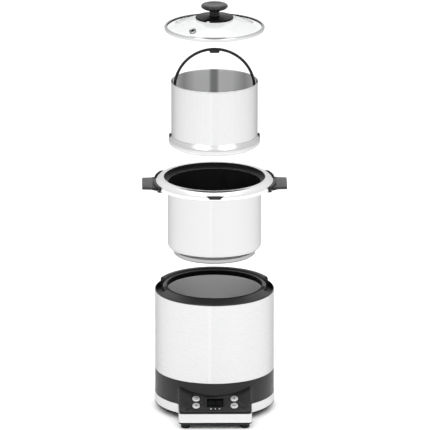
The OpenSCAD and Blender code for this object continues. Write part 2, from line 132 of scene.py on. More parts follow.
def paint_reflections_round_axis(nt, tone, stops):
    tc = nt.nodes.new("ShaderNodeTexCoord")
    mp = nt.nodes.new("ShaderNodeMapping")
    mp.inputs["Location"].default_value = (-AX * MM, -AY * MM, 0)
    nt.links.new(tc.outputs["Object"], mp.inputs["Vector"])
    sp = nt.nodes.new("ShaderNodeSeparateXYZ")
    nt.links.new(mp.outputs["Vector"], sp.inputs["Vector"])
    at = nt.nodes.new("ShaderNodeMath")
    at.operation = "ARCTAN2"                       # zero at the back, +pi/2 on the left
    neg = nt.nodes.new("ShaderNodeMath")
    neg.operation = "MULTIPLY"
    neg.inputs[1].default_value = -1.0
    nt.links.new(sp.outputs["X"], neg.inputs[0])
    nt.links.new(neg.outputs[0], at.inputs[0])
    nt.links.new(sp.outputs["Y"], at.inputs[1])
    fr = nt.nodes.new("ShaderNodeMath")
    fr.operation = "MULTIPLY"
    fr.inputs[1].default_value = 1 / (2 * math.pi)
    nt.links.new(at.outputs[0], fr.inputs[0])
    wr = nt.nodes.new("ShaderNodeMath")
    wr.operation = "FRACT"
    nt.links.new(fr.outputs[0], wr.inputs[0])
    cr = nt.nodes.new("ShaderNodeValToRGB")
    el = cr.color_ramp.elements
    while len(el) > 1:
        el.remove(el[-1])
    el[0].position = stops[0][0]
    el[0].color = (*([stops[0][1] / 1.1] * 3), 1)
    for pos, v in stops[1:]:
        e = el.new(pos)
        e.color = (*([v / 1.1] * 3), 1)
    nt.links.new(wr.outputs[0], cr.inputs["Fac"])
    mx = nt.nodes.new("ShaderNodeMix")
    mx.data_type = "RGBA"
    mx.blend_type = "MULTIPLY"
    mx.inputs["Factor"].default_value = 1.0
    nt.links.new(tone, mx.inputs["A"])
    nt.links.new(cr.outputs["Color"], mx.inputs["B"])
    up = nt.nodes.new("ShaderNodeMix")
    up.data_type = "RGBA"
    up.blend_type = "MULTIPLY"
    up.inputs["Factor"].default_value = 1.0
    up.clamp_result = False
    up.inputs["B"].default_value = (1.1, 1.1, 1.1, 1)
    nt.links.new(mx.outputs["Result"], up.inputs["A"])
    return up.outputs["Result"]

def metal(name, col, rough, spread=0.05, grain="ring", density=1600.0, depth=0.05, tint=0.5, aniso=0.0, vary=0.03, paint_reflection_line=False, bands=False, metallic=1.0):
    """Satin or polished sheet: grain lines run round the axis or up the wall, or a fine even grain."""
    m, nt, b = new_mat(name)
    b.inputs["Metallic"].default_value = metallic
    b.inputs["Specular Tint"].default_value = (tint, tint, tint, 1)
    if aniso:
        b.inputs["Anisotropic"].default_value = aniso
        t = nt.nodes.new("ShaderNodeTangent")
        t.direction_type = "RADIAL"
        t.axis = "Z"
        nt.links.new(t.outputs["Tangent"], b.inputs["Tangent"])
    sc = {"ring": (0.02, 0.02, 1.0), "up": (1.0, 1.0, 0.006), "fine": (1.0, 1.0, 1.0)}[grain]
    v = coords(nt, sc)
    f = noise(nt, v, density, 2.0)
    broad = noise(nt, coords(nt), 9.0, 2.0)
    tone = mix_col(nt, ramp(nt, broad, 0, 1), [c * (1 - vary) for c in col], col)
    # painted reflections: a reflection line on the shell, pot and insert steels, and reflection bands on the insert's
    # inner wall
    if paint_reflection_line or bands:
        tone = paint_reflections_round_axis(nt, tone, REFLECTION_LINE_TONES if paint_reflection_line else REFLECTION_BAND_TONES)
    nt.links.new(tone, b.inputs["Base Color"])
    nt.links.new(ramp(nt, f, rough - spread, rough + spread), b.inputs["Roughness"])
    if depth:
        bump(nt, b, f, depth, 0.0002)
    return m

def plastic(name, col, rough, spread=0.06, grain=1500.0, depth=0.12, coat=0.0, vary=0.18, spec=0.5):
    """Moulded plastic: fine eroded grain, slight tone drift and scuffs."""
    m, nt, b = new_mat(name)
    b.inputs["Specular IOR Level"].default_value = spec
    if coat:
        b.inputs["Coat Weight"].default_value = coat
        b.inputs["Coat Roughness"].default_value = 0.05
    f = noise(nt, coords(nt), grain, 3.0, 0.6)
    broad = noise(nt, coords(nt), 22.0, 3.0)
    nt.links.new(mix_col(nt, ramp(nt, broad, 0, 1), [c * (1 - vary) for c in col], [c * (1 + vary) for c in col]), b.inputs["Base Color"])
    scuff = noise(nt, coords(nt, (1, 1, 0.3)), 60.0, 5.0, 0.7)
    nt.links.new(ramp(nt, scuff, rough - spread, rough + spread), b.inputs["Roughness"])
    if depth:
        bump(nt, b, f, depth, 0.00025)
    return m

MAT = {}
# the shell, pot and insert steels carry the painted reflection line
MAT["shell_steel"] = metal("shell_steel", (0.604, 0.604, 0.607), 0.27, 0.008, "ring", 2600, 0.0015, tint=0.58, aniso=0.5, vary=0.008, paint_reflection_line=True)
MAT["pot_steel"] = metal("pot_steel", (0.592, 0.592, 0.595), 0.26, 0.008, "ring", 2600, 0.0015, tint=0.60, aniso=0.5, vary=0.008, paint_reflection_line=True)
MAT["rim_steel"] = metal("rim_steel", (0.78, 0.78, 0.782), 0.19, 0.02, "ring", 1200, 0.006, tint=0.75, vary=0.012)
MAT["base_disc_steel"] = metal("base_disc_steel", (0.38, 0.38, 0.383), 0.36, 0.05, "ring", 900, 0.05, tint=0.5)
MAT["insert_steel"] = metal("insert_steel", (0.582, 0.582, 0.585), 0.27, 0.008, "up", 1500, 0.0015, tint=0.46, aniso=0.5, vary=0.008, paint_reflection_line=True)
# the insert's inner wall carries the painted reflection bands
MAT["insert_inner"] = metal("insert_inner", (0.74, 0.74, 0.742), 0.40, 0.04, "up", 900, 0.02, tint=0.9, vary=0.03, bands=True, metallic=0.45)
MAT["foot_steel"] = metal("foot_steel", (0.58, 0.58, 0.582), 0.26, 0.02, "ring", 1200, 0.01, tint=0.62)
# a paler, less metallic copy of the foot's steel: painted light on the foot ring's downward faces, in place of the
# dark reflection they would show
MAT["foot_under_painted_light"] = metal("foot_under_painted_light", (0.80, 0.80, 0.802), 0.5, 0.03, "ring", 1200, 0.01, tint=0.8, metallic=0.2)
MAT["trim_pale"] = metal("trim_pale", (0.67, 0.67, 0.67), 0.42, 0.05, "fine", 2200, 0.05, tint=0.8)
MAT["housing_plastic"] = plastic("housing_plastic", (0.009, 0.009, 0.010), 0.42, 0.06, 1500, 0.14, spec=0.27)
MAT["collar_plastic"] = plastic("collar_plastic", (0.009, 0.009, 0.0095), 0.40, 0.06, 1500, 0.12, spec=0.31)
MAT["panel_gloss"] = plastic("panel_gloss", (0.005, 0.005, 0.0055), 0.26, 0.04, 900, 0.01, spec=0.28)
MAT["display"] = plastic("display", (0.0008, 0.0009, 0.001), 0.22, 0.03, 500, 0.0, spec=0.03)
MAT["black_plastic"] = plastic("black_plastic", (0.006, 0.006, 0.0065), 0.38, 0.06, 1600, 0.12, spec=0.35)
MAT["knob_plastic"] = plastic("knob_plastic", (0.005, 0.005, 0.0055), 0.30, 0.05, 1800, 0.08, spec=0.38)
MAT["flange_plastic"] = plastic("flange_plastic", (0.003, 0.003, 0.0032), 0.36, 0.05, 1800, 0.08, spec=0.07)
# near-black for painted shade in gaps and recesses, and for the base plate's dark edge under the trim
MAT["edge_black"] = plastic("edge_black", (0.0015, 0.0015, 0.0016), 0.5, 0.05, 1500, 0.05, spec=0.05)
# near-black for painted shade in the pot's recess below the rim
MAT["pot_recess_shade"] = plastic("pot_recess_shade", (0.016, 0.016, 0.0165), 0.34, 0.05, 1500, 0.05, spec=0.42)
MAT["root_black"] = plastic("root_black", (0.003, 0.003, 0.0032), 0.42, 0.05, 1500, 0.1, spec=0.22)
MAT["handle_plastic"] = plastic("handle_plastic", (0.012, 0.012, 0.013), 0.42, 0.06, 1500, 0.14, spec=0.45)
MAT["bail_black"] = plastic("bail_black", (0.006, 0.006, 0.0065), 0.36, 0.06, 1400, 0.10, spec=0.28)
MAT["well_metal"] = metal("well_metal", (0.74, 0.74, 0.745), 0.46, 0.06, "ring", 700, 0.08, tint=0.9, vary=0.05)
MAT["plate_metal"] = metal("plate_metal", (0.74, 0.74, 0.745), 0.48, 0.08, "fine", 900, 0.18, tint=0.9, vary=0.08)
MAT["element_metal"] = metal("element_metal", (0.30, 0.28, 0.26), 0.55, 0.1, "fine", 700, 0.2, vary=0.2)
MAT["steel_fastener"] = metal("steel_fastener", (0.68, 0.68, 0.69), 0.28, 0.07, "fine", 1200, 0.06)
MAT["board_green"] = plastic("board_green", (0.02, 0.13, 0.05), 0.45, 0.05, 600, 0.1)
MAT["ceramic"] = plastic("ceramic", (0.62, 0.60, 0.54), 0.6, 0.08, 900, 0.2, vary=0.08)
MAT["rubber"] = plastic("rubber", (0.006, 0.006, 0.0065), 0.72, 0.08, 1100, 0.25, spec=0.2)
MAT["icon_print"] = plastic("icon_print", (0.34, 0.35, 0.37), 0.5, 0.05, 800, 0.05, vary=0.05)
MAT["icon_dark"] = plastic("icon_dark", (0.004, 0.004, 0.0045), 0.5, 0.05, 800, 0.05, spec=0.1)
MAT["segment"] = plastic("segment", (0.012, 0.013, 0.014), 0.35, 0.05, 800, 0.0, spec=0.1)
MAT["button_metal"] = metal("button_metal", (0.44, 0.44, 0.445), 0.36, 0.05, "fine", 2200, 0.04, tint=0.7)
MAT["lid_steel"] = metal("lid_steel", (0.56, 0.56, 0.563), 0.16, 0.02, "ring", 1200, 0.008, tint=0.65)

def nonstick():
    m, nt, b = new_mat("nonstick")
    v = nt.nodes.new("ShaderNodeTexVoronoi")
    v.inputs["Scale"].default_value = 900.0
    nt.links.new(coords(nt), v.inputs["Vector"])
    fleck = ramp(nt, v.outputs["Distance"], 1.0, 0.0, 0.05, 0.16)
    nt.links.new(mix_col(nt, fleck, (0.0075, 0.0075, 0.008), (0.035, 0.035, 0.037)), b.inputs["Base Color"])
    f = noise(nt, coords(nt, (0.05, 0.05, 1)), 500.0, 3.0)
    nt.links.new(ramp(nt, f, 0.30, 0.44), b.inputs["Roughness"])
    bump(nt, b, noise(nt, coords(nt), 1200.0, 2.0), 0.12, 0.0002)
    b.inputs["Specular IOR Level"].default_value = 0.35
    return m
MAT["nonstick"] = nonstick()

def glass():
    m, nt, b = new_mat("lid_glass")
    b.inputs["Transmission Weight"].default_value = 1.0
    b.inputs["IOR"].default_value = 1.47
    smear = noise(nt, coords(nt), 35.0, 4.0, 0.7)
    nt.links.new(ramp(nt, smear, 0.0, 0.025), b.inputs["Roughness"])
    nt.links.new(mix_col(nt, noise(nt, coords(nt), 14.0), (0.735, 0.750, 0.747), (0.750, 0.763, 0.760)), b.inputs["Base Color"])
    return m
MAT["lid_glass"] = glass()
MAT["grommet_steel"] = metal("grommet_steel", (0.22, 0.22, 0.222), 0.24, 0.04, "fine", 1500, 0.03, tint=0.7)

# ------------------------------------------------------------------ mesh tools
def finish_mesh(name, bm, mat, body, replaces=(), sharp=34.0, weld=1e-7):
    bmesh.ops.remove_doubles(bm, verts=bm.verts, dist=weld)
    bmesh.ops.recalc_face_normals(bm, faces=bm.faces)
    me = bpy.data.meshes.new(name)
    bm.to_mesh(me)
    bm.free()
    me.shade_smooth()
    me.set_sharp_from_angle(angle=math.radians(sharp))
    o = bpy.data.objects.new(name, me)
    bpy.context.scene.collection.objects.link(o)
    mats = mat if isinstance(mat, (list, tuple)) else [mat]
    for k in mats:
        me.materials.append(MAT[k])
    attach(o, body)
    if replaces:
        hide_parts(*([replaces] if isinstance(replaces, str) else replaces))
    return o

def rounded(pts, closed=True, n=4):
    """Profile corners given as (r, z, radius) become arcs."""
    out = []
    c = len(pts)
    for i, p in enumerate(pts):
        rad = p[2] if len(p) > 2 else 0.0
        if rad <= 0 or (not closed and i in (0, c - 1)):
            out.append((p[0], p[1]))
            continue
        a = Vector(pts[i - 1][:2]); b = Vector(p[:2]); d = Vector(pts[(i + 1) % c][:2])
        u = (a - b); v = (d - b)
        lu, lv = u.length, v.length
        if lu < 1e-6 or lv < 1e-6:
            out.append((p[0], p[1])); continue
        u.normalize(); v.normalize()
        ang = math.acos(max(-1, min(1, u.dot(v))))
        if ang > math.pi - 0.02:
            out.append((p[0], p[1])); continue
        t = min(rad / math.tan(ang / 2), lu * 0.48, lv * 0.48)
        r2 = t * math.tan(ang / 2)
        cen = b + (u + v).normalized() * (r2 / math.sin(ang / 2))
        p0 = b + u * t; p1 = b + v * t
        a0 = math.atan2(p0.y - cen.y, p0.x - cen.x); a1 = math.atan2(p1.y - cen.y, p1.x - cen.x)
        da = (a1 - a0 + math.pi) % (2 * math.pi) - math.pi
        for k in range(n + 1):
            q = a0 + da * k / n
            out.append((cen.x + r2 * math.cos(q), cen.y + r2 * math.sin(q)))
    return out

def sweep_cols(bm, cols, wrap, closed, place):
    """cols: list of (angle, [(r, z)...]) with equal counts; makes the faces between neighbours."""
    rows = []
    for a, prof in cols:
        ca, sa = math.cos(a), math.sin(a)
        rows.append([bm.verts.new(place(r, z, ca, sa)) for r, z in prof])
    n = len(rows[0])
    pairs = list(zip(rows, rows[1:] + rows[:1])) if wrap else list(zip(rows, rows[1:]))
    for A, B in pairs:
        for i in range(n if closed else n - 1):
            j = (i + 1) % n
            vs = []
            for v in (A[i], B[i], B[j], A[j]):
                if all((v.co - w.co).length > 1e-8 for w in vs):
                    vs.append(v)
            if len(vs) >= 3:
                try:
                    bm.faces.new(vs)
                except ValueError:
                    pass
    if not wrap and closed:
        bm.faces.new(rows[0]); bm.faces.new(list(reversed(rows[-1])))

def place_axis(r, z, ca, sa):
    return Vector(((AX + r * ca) * MM, (AY + r * sa) * MM, z * MM))

def lathe(name, prof, mat, body, replaces=(), segs=192, closed=True, sharp=34.0, a0=0.0, a1=360.0, dz=0.0, matrix=None, n=4, region=None):
    bm = bmesh.new()
    pr = [(r, z + dz) for r, z in rounded(prof, closed, n)]
    full = abs(a1 - a0 - 360) < 1e-6
    k = segs if full else segs + 1
    cols = [(math.radians(a0 + (a1 - a0) * i / segs), pr) for i in range(k)]
    pl = place_axis if matrix is None else (lambda r, z, ca, sa: matrix @ Vector((r * ca * MM, r * sa * MM, z * MM)))
    sweep_cols(bm, cols, full, closed, pl)
    o = finish_mesh(name, bm, mat, body, replaces, sharp)
    if region:
        for p in o.data.polygons:
            c = p.center
            p.material_index = region(math.hypot(c.x / MM - AX, c.y / MM - AY), c.z / MM, p.normal)
    return o

def refine(node, mat, width=0.4, segs=2, body=None, angle=34.0, name=None):
    """A CAD node's own solid with its edges eased."""
    src = NODES[node]
    bm = bmesh.new()
    bm.from_mesh(src.data)
    bmesh.ops.remove_doubles(bm, verts=bm.verts, dist=2e-6)
    bmesh.ops.dissolve_limit(bm, angle_limit=math.radians(0.4), verts=bm.verts, edges=bm.edges)
    edges = [e for e in bm.edges if len(e.link_faces) == 2 and e.calc_face_angle(0) > math.radians(angle)]
    if width > 0 and edges:
        bmesh.ops.bevel(bm, geom=edges, offset=width * MM, segments=segs, profile=0.5, affect="EDGES", clamp_overlap=True, loop_slide=True)
    return finish_mesh(name or (node + "_finished"), bm, mat, body or src["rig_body"], node, sharp=30.0, weld=1e-6)

def box_solid(bm, M4, x0, x1, y0, y1, z0, z1):
    vs = [bm.verts.new(M4 @ Vector((x * MM, y * MM, z * MM))) for x in (x0, x1) for y in (y0, y1) for z in (z0, z1)]
    for f in ((0, 1, 3, 2), (4, 6, 7, 5), (0, 4, 5, 1), (2, 3, 7, 6), (0, 2, 6, 4), (1, 5, 7, 3)):
        bm.faces.new([vs[i] for i in f])

def outline_solid(bm, M4, pts, z0, z1, bev=0.0):
    """A plan outline in mm raised from z0 to z1, its top edge eased by bev."""
    c = Vector((sum(p[0] for p in pts) / len(pts), sum(p[1] for p in pts) / len(pts)))
    lo = [bm.verts.new(M4 @ Vector((x * MM, y * MM, z0 * MM))) for x, y in pts]
    mid = [bm.verts.new(M4 @ Vector((x * MM, y * MM, (z1 - bev) * MM))) for x, y in pts]
    def pull(x, y):
        d = Vector((x, y)) - c
        k = max(0.0, 1 - bev / max(d.length, 1e-6))
        return c + d * k
    hi = [bm.verts.new(M4 @ Vector((pull(x, y).x * MM, pull(x, y).y * MM, z1 * MM))) for x, y in pts]
    n = len(pts)
    bm.faces.new(list(reversed(lo)))
    bm.faces.new(hi)
    for i in range(n):
        j = (i + 1) % n
        bm.faces.new((lo[i], lo[j], mid[j], mid[i]))
        if bev > 0:
            bm.faces.new((mid[i], mid[j], hi[j], hi[i]))

def ring_pts(cx, cy, r, n=32, a0=0.0, a1=360.0, ends=False):
    k = n + 1 if ends else n
    return [(cx + r * math.cos(math.radians(a0 + (a1 - a0) * i / n)), cy + r * math.sin(math.radians(a0 + (a1 - a0) * i / n))) for i in range(k)]

PANEL_M = Matrix.Translation(PANEL * MM) @ Matrix.Rotation(TILT, 4, "X")

# ------------------------------------------------------------------ camera, floor, light
cam_data = bpy.data.cameras.new("camera")
cam = bpy.data.objects.new("camera", cam_data)
bpy.context.scene.collection.objects.link(cam)
ELEV = math.radians(16.6)
aim = Vector((AX * MM, AY * MM, 0.2915))
dist = 12.0
AZIM = math.radians(-0.6)
cam.location = aim + Vector((math.sin(AZIM) * math.cos(ELEV), -math.cos(AZIM) * math.cos(ELEV), math.sin(ELEV))) * dist
cam.rotation_euler = (math.pi / 2 - ELEV, 0, AZIM)
cam_data.sensor_width = 36.0
cam_data.lens = 36.0 * dist / 0.6291
cam_data.shift_x = 0.0012
cam_data.clip_end = 100.0
bpy.context.scene.camera = cam

def make_floor():
    bm = bmesh.new()
    bmesh.ops.create_circle(bm, cap_ends=True, radius=14.0, segments=96)
    me = bpy.data.meshes.new("floor")
    bm.to_mesh(me); bm.free()
    o = bpy.data.objects.new("floor", me)
    bpy.context.scene.collection.objects.link(o)
    m, nt, b = new_mat("floor_white")
    b.inputs["Base Color"].default_value = (0.93, 0.93, 0.93, 1)
    b.inputs["Roughness"].default_value = 0.75
    b.inputs["Specular IOR Level"].default_value = 0.1
    me.materials.append(m)
    return o
floor = make_floor()

world = bpy.data.worlds.new("studio")
bpy.context.scene.world = world
world.use_nodes = True
wn = world.node_tree
bg = wn.nodes["Background"]
tc = wn.nodes.new("ShaderNodeTexCoord")
sx = wn.nodes.new("ShaderNodeSeparateXYZ")
wn.links.new(tc.outputs["Generated"], sx.inputs["Vector"])
up = wn.nodes.new("ShaderNodeMapRange")
up.inputs["From Min"].default_value = -0.05
up.inputs["From Max"].default_value = 0.9
up.inputs["To Min"].default_value = 0.896
up.inputs["To Max"].default_value = 1.0
wn.links.new(sx.outputs["Z"], up.inputs["Value"])
comb = wn.nodes.new("ShaderNodeCombineColor")
for c in ("Red", "Green", "Blue"):
    wn.links.new(up.outputs["Result"], comb.inputs[c])
wn.links.new(comb.outputs["Color"], bg.inputs["Color"])
bg.inputs["Strength"].default_value = 1.12

def softbox(name, loc, size, power, at=(0, 0, 0.25)):
    d = bpy.data.lights.new(name, "AREA")
    d.shape = "RECTANGLE"
    d.size, d.size_y = size
    d.energy = power
    o = bpy.data.objects.new(name, d)
    bpy.context.scene.collection.objects.link(o)
    o.location = loc
    o.rotation_euler = (Vector(at) - Vector(loc)).to_track_quat("-Z", "Y").to_euler()
    return o
softbox("key_left", (-1.7, -2.3, 3.0), (2.0, 1.6), 42, at=(-0.2, -0.9, 0))
softbox("key_right", (1.7, -2.3, 3.0), (2.0, 1.6), 42, at=(0.2, -0.9, 0))
softbox("top", (0.0, 0.6, 3.4), (3.0, 3.0), 30, at=(0, 0.6, 0))

bpy.context.scene.view_settings.view_transform = "Standard"

# ------------------------------------------------------------------ base unit
R = 87.4
lathe("shell_finished", [(86.62, 58.0, 0.2), (R - 0.1, 58.0, 0.3), (R, 58.6, 0.3), (R, 176.5, 0.3), (R - 0.15, 177.0, 0.2), (86.62, 177.0, 0.2)],
      "shell_steel", "base", replaces="outer_shell", segs=256, dz=DZ)
lathe("well_finished", [(62.0, 70.0), (70.4, 70.0, 1.2), (70.4, 176.1, 0.1), (73.6, 176.1, 0.2), (73.6, 176.8, 0.2), (69.6, 176.8, 0.5), (69.6, 70.8, 2.2), (62.0, 70.8)],
      "well_metal", "base", replaces="inner_well", segs=192, n=6, dz=DZ)
lathe("well_support_finished", [(63, 58, 0.5), (67, 58, 0.5), (67, 62, 0.6), (65.6, 63, 0.6), (65.6, 66, 0.6), (67, 67, 0.6), (67, 70, 0.4), (63, 70, 0.4)],
      "ceramic", "base", replaces="well_support_ring", segs=96, dz=DZ)
lathe("plate_finished", [(12.2, 70.82), (41.3, 70.82, 0.2), (41.3, 73.2, 1.2), (48.7, 73.2, 1.2), (48.7, 70.82, 0.2), (66, 70.82, 0.4), (66, 75.4, 0.8), (63, 76.0, 0.6),
      (59.0, 76.0, 0.1), (58.6, 75.5, 0.1), (58.2, 76.0, 0.1), (46.0, 76.0, 0.1), (45.6, 75.5, 0.1), (45.2, 76.0, 0.1), (31, 76.0, 0.1), (30.6, 75.5, 0.1), (30.2, 76.0, 0.1),
      (16, 76.0, 1.2), (14.6, 75.0, 0.5), (12.2, 75.0, 0.4)], "plate_metal", "base", replaces="heating_plate", segs=160, dz=DZ)
lathe("sensor_finished", [(0, 78.25), (9.6, 78.25, 0.8), (11.2, 77.4, 0.6), (11.45, 76.05, 0.3), (10.4, 76.05, 0.2), (10.4, 77.0, 0.2), (4.6, 77.0, 0.3), (3.9, 76.2, 0.2), (3.9, 57.6, 0.5), (3.2, 57.0, 0.3), (0, 57.0)],
      "steel_fastener", "sensor", replaces="temperature_sensor", segs=96, closed=False, dz=DZ)

def collar():
    ring = [(69.5, 176.95), (69.5, 182.9), (69.75, 183.6), (70.4, 183.95), (71.5, 183.98), (73.5, 183.5), (75.4, 182.9), (76.6, 182.5),
            (77.7, 182.1), (78.3, 181.9), (79.2, 181.55), (80.2, 181.15), (81.6, 180.65), (83.2, 180.05), (84.2, 179.7), (84.6, 179.55),
            (84.9, 179.45), (86.0, 179.0), (87.0, 178.45), (87.38, 177.95), (87.4, 177.05), (86.55, 177.05), (86.5, 168.0), (84.0, 168.0), (84.0, 174.0), (84.0, 176.9)]
    back = list(ring)
    for i, p in zip(range(8, 17), [(77.6, 182.3), (78.1, 184.2), (78.8, 185.2), (80.0, 185.65), (81.8, 185.75), (83.5, 185.6), (84.25, 185.15), (84.65, 184.2), (84.85, 179.6)]):
        back[i] = p
    dip = list(ring)
    for i, p in zip(range(6, 18), [(75.2, 182.97), (75.62, 182.6), (75.66, 172.2), (76.2, 171.6), (78, 171.55), (80, 171.55), (82, 171.55), (84, 171.55), (85.5, 171.6),
                                   (85.95, 172.2), (86.0, 178.6), (86.25, 178.9)]):
        dip[i] = p
    dip[22:] = [(86.5, 168.6), (80.0, 168.6), (74.6, 168.9), (74.6, 176.9)]
    def blend(a, b, t):
        return [(p[0] + (q[0] - p[0]) * t, p[1] + (q[1] - p[1]) * t) for p, q in zip(a, b)]
    marks = []
    def span(a0, a1, step, prof):
        k = max(1, int(round((a1 - a0) / step)))
        for i in range(k + 1):
            marks.append((a0 + (a1 - a0) * i / k, prof))
    e0, e1 = 20.4, 20.9
    def ends(start, sign):
        for t, w in ((0.0, 0.0), (0.05, 0.55), (0.16, 0.8), (0.4, 0.93), (0.8, 0.985), (1.3, 1.0)):
            marks.append((start + sign * t, blend(ring, back, w)))
    span(-e0, e0, 1.5, dip)
    marks.append((e0 + 0.12, ring))
    ends(e1 + 0.3, 1)
    span(23.0, 157.0, 1.5, back)
    tail = []
    for t, w in ((1.3, 1.0), (0.8, 0.985), (0.4, 0.93), (0.16, 0.8), (0.05, 0.55), (0.0, 0.0)):
        tail.append((180 - (e1 + 0.3) - t, blend(ring, back, w)))
    marks.extend(tail)
    marks.append((180 - e0 - 0.12, ring))
    span(180 - e0, 180 + e0, 1.5, dip)
    marks.append((180 + e0 + 0.12, ring))
    span(201.5, 338.5, 1.5, ring)
    marks.append((360 - e0 - 0.12, ring))
    bm = bmesh.new()
    sweep_cols(bm, [(math.radians(a), [(r, z + DZ) for r, z in p]) for a, p in marks], True, True, place_axis)
    o = finish_mesh("collar_finished", bm, "collar_plastic", "base", replaces="top_collar", sharp=30)
    # painted shade: the collar's inner lip faces take the near-black, for the shadow gap where the lip meets the well
    o.data.materials.append(MAT["edge_black"])
    for f in o.data.polygons:
        c = f.center
        if math.hypot(c.x / MM - AX, c.y / MM - AY) < (74.4 if c.y / MM < AY - 8 else 70.6) and c.z / MM - DZ > 177.2:
            f.material_index = 1
collar()

refine("lower_housing", "housing_plastic", 0.5, 3, angle=38)
o = refine("plinth_trim", "trim_pale", 0.9, 3, angle=38)
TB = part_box("plinth_trim")[0].z + 1.5 * MM
bm = bmesh.new()
bm.from_mesh(o.data)
bmesh.ops.bisect_plane(bm, geom=bm.verts[:] + bm.edges[:] + bm.faces[:], plane_co=(0, 0, TB), plane_no=(0, 0, 1), dist=1e-7)
bm.to_mesh(o.data)
bm.free()
# the trim's bottom strip takes the same near-black, for the base plate's dark edge seen below the trim
o.data.materials.append(MAT["edge_black"])
for f in o.data.polygons:
    if f.center.z < TB:
        f.material_index = 1
refine("base_plate", "black_plastic", 0.5, 2, angle=38)
refine("control_panel", "panel_gloss", 0.35, 3, angle=38)
refine("display_window", "display", 0.25, 2)
refine("power_inlet", "black_plastic", 0.5, 2)
refine("rim_tab", "black_plastic", 0.2, 2)
refine("terminal_block", "ceramic", 0.4, 2)
refine("control_board", "board_green", 0.1, 1)
refine("thermal_fuse", "ceramic", 0.2, 2)
refine("button_switches", "black_plastic", 0.2, 2)

flo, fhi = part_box("feet")
def feet():
    bm = bmesh.new()
    top = fhi.z * 1000.0
    prof = rounded([(0, 0.0), (4.2, 0.0, 0.3), (4.5, 0.5, 0.2), (4.9, 0.0, 0.2), (5.9, 0.0, 0.7), (6.5, 1.2, 0.5), (6.5, top - 0.6, 0.2), (6.1, top, 0.2), (0, top)], closed=False)
    for x, y in ((-43.5, -107), (43.5, -107), (-48, 58), (48, 58)):
        cols = [(2 * math.pi * i / 48, prof) for i in range(48)]
        sweep_cols(bm, cols, True, False, lambda r, z, ca, sa: Vector(((AX + x + r * ca) * MM, (AY + y + r * sa) * MM, z * MM)))
    finish_mesh("feet_finished", bm, "rubber", "base", replaces="feet")
feet()

# push buttons with printed symbols
BX, BS = 27.8, (13.2, 27.5)
KEYS = {"menu": (-BX, BS[1]), "start": (-BX, BS[0]), "plus": (BX, BS[1]), "minus": (BX, BS[0])}
for k, (bx, bs) in KEYS.items():
    M4 = PANEL_M @ Matrix.Translation(Vector((bx, bs, 0)) * MM)
    lathe("key_" + k, [(0, 3.22), (2.6, 3.2), (4.4, 3.05), (5.2, 2.92, 0.5), (5.85, 2.35, 0.5), (5.9, 0.35, 0.2), (5.0, 0.35), (5.0, -0.3, 0.1), (6.4, -0.3, 0.1), (6.4, -1.2, 0.1),
          (2.0, -1.2, 0.2), (2.0, -4.5, 0.3), (0, -4.5)], "button_metal", k + "_key", replaces="button_" + k, segs=72, closed=False, matrix=M4)
    bm = bmesh.new()
    T = M4 @ Matrix.Translation(Vector((0, 0, 3.12)) * MM)
    if k == "plus":
        w, l = 0.5, 2.1
        outline_solid(bm, T, [(-w, -l), (w, -l), (w, -w), (l, -w), (l, w), (w, w), (w, l), (-w, l), (-w, w), (-l, w), (-l, -w), (-w, -w)], 0, 0.22, 0.05)
    elif k == "minus":
        w, l = 0.5, 2.1
        outline_solid(bm, T, [(-l, -w), (l, -w), (l, w), (-l, w)], 0, 0.22, 0.05)
    elif k == "start":
        outline_solid(bm, T, ring_pts(0, 0, 1.35, 28), 0, 0.22, 0.06)
    else:
        outer = ring_pts(0, 0, 2.45, 40, 0, 360)
        inner = ring_pts(0, 0, 1.85, 40, 0, 360)
        for i in range(40):
            j = (i + 1) % 40
            q = [outer[i], outer[j], inner[j], inner[i]]
            lo = [bm.verts.new(T @ Vector((x * MM, y * MM, 0))) for x, y in q]
            hi = [bm.verts.new(T @ Vector((x * MM, y * MM, 0.2 * MM))) for x, y in q]
            bm.faces.new(hi)
            bm.faces.new(list(reversed(lo)))
            bm.faces.new((lo[0], lo[1], hi[1], hi[0]))
            bm.faces.new((lo[2], lo[3], hi[3], hi[2]))
        outline_solid(bm, T, [(-0.17, -0.1), (0.17, -0.1), (0.17, 1.05), (-0.17, 1.05)], 0, 0.2, 0.03)
        outline_solid(bm, T, [(-0.1, -0.17), (0.85, -0.17), (0.85, 0.17), (-0.1, 0.17)], 0, 0.2, 0.03)
    finish_mesh("symbol_" + k, bm, "icon_dark", k + "_key")
    # painted shade: a thin near-black ring round each key stands for the shade in the gap between key and panel
    lathe("key_gap_shade_" + k, [(6.2, 1.98), (6.25, 2.2, 0.1), (6.6, 2.32, 0.15), (6.95, 2.2, 0.1), (7.05, 1.98)], "edge_black", "base", segs=72, matrix=M4)

